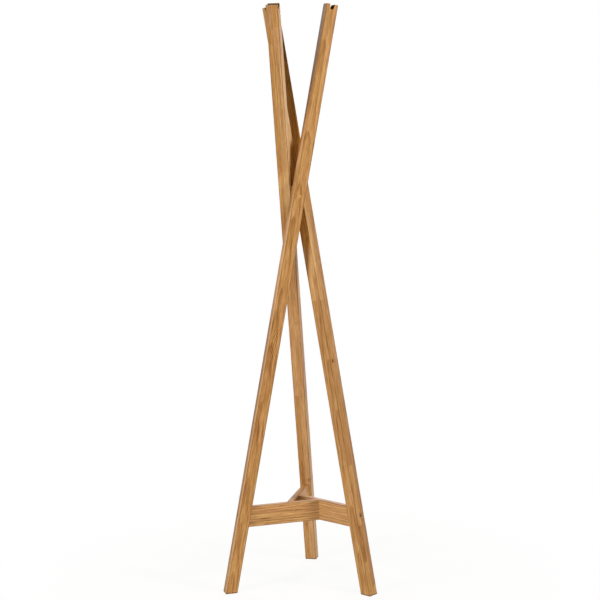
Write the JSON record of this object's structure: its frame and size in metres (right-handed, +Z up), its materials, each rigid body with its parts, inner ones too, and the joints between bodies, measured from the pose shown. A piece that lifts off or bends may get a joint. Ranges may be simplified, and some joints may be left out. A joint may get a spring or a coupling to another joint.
{
  "type": "coat stand",
  "caption": "Free-standing wooden coat stand: square legs lean past each other at a waist, are notched at the top to hang coats on, and are tied by rails near the floor.",
  "frame": {"origin": "on the floor, on the upright axis that the legs are spaced evenly about", "axes": "+Z up, +X the way that the left leg leans as it rises"},
  "size_m": [0.4266, 0.4641, 1.75],
  "materials": {
    "oak_legs": "satin",
    "oak_rails": "satin",
    "oak_core": "satin",
    "beech_dowels": "matte",
    "zinc_screws": "satin",
    "dark_bolts": "satin",
    "steel_inserts": "satin"
  },
  "bodies": {
    "root": {"leg_left": "oak_legs", "leg_right": "oak_legs", "leg_back": "oak_legs", "rail_left": "oak_rails", "rail_right": "oak_rails", "rail_back": "oak_rails", "waist_screw_left": "zinc_screws", "waist_screw_right": "zinc_screws", "waist_screw_back": "zinc_screws", "waist_dowels_left": "beech_dowels", "waist_dowels_right": "beech_dowels", "waist_dowels_back": "beech_dowels", "leg_bolt_left": "dark_bolts", "leg_bolt_right": "dark_bolts", "leg_bolt_back": "dark_bolts", "threaded_insert_left": "steel_inserts", "threaded_insert_right": "steel_inserts", "threaded_insert_back": "steel_inserts", "leg_dowels_left": "beech_dowels", "leg_dowels_right": "beech_dowels", "leg_dowels_back": "beech_dowels", "rail_screw_left": "zinc_screws", "rail_screw_right": "zinc_screws", "rail_screw_back": "zinc_screws", "rail_dowels_left": "beech_dowels", "rail_dowels_right": "beech_dowels", "rail_dowels_back": "beech_dowels", "core_block": "oak_core"}
  },
  "joints": []
}
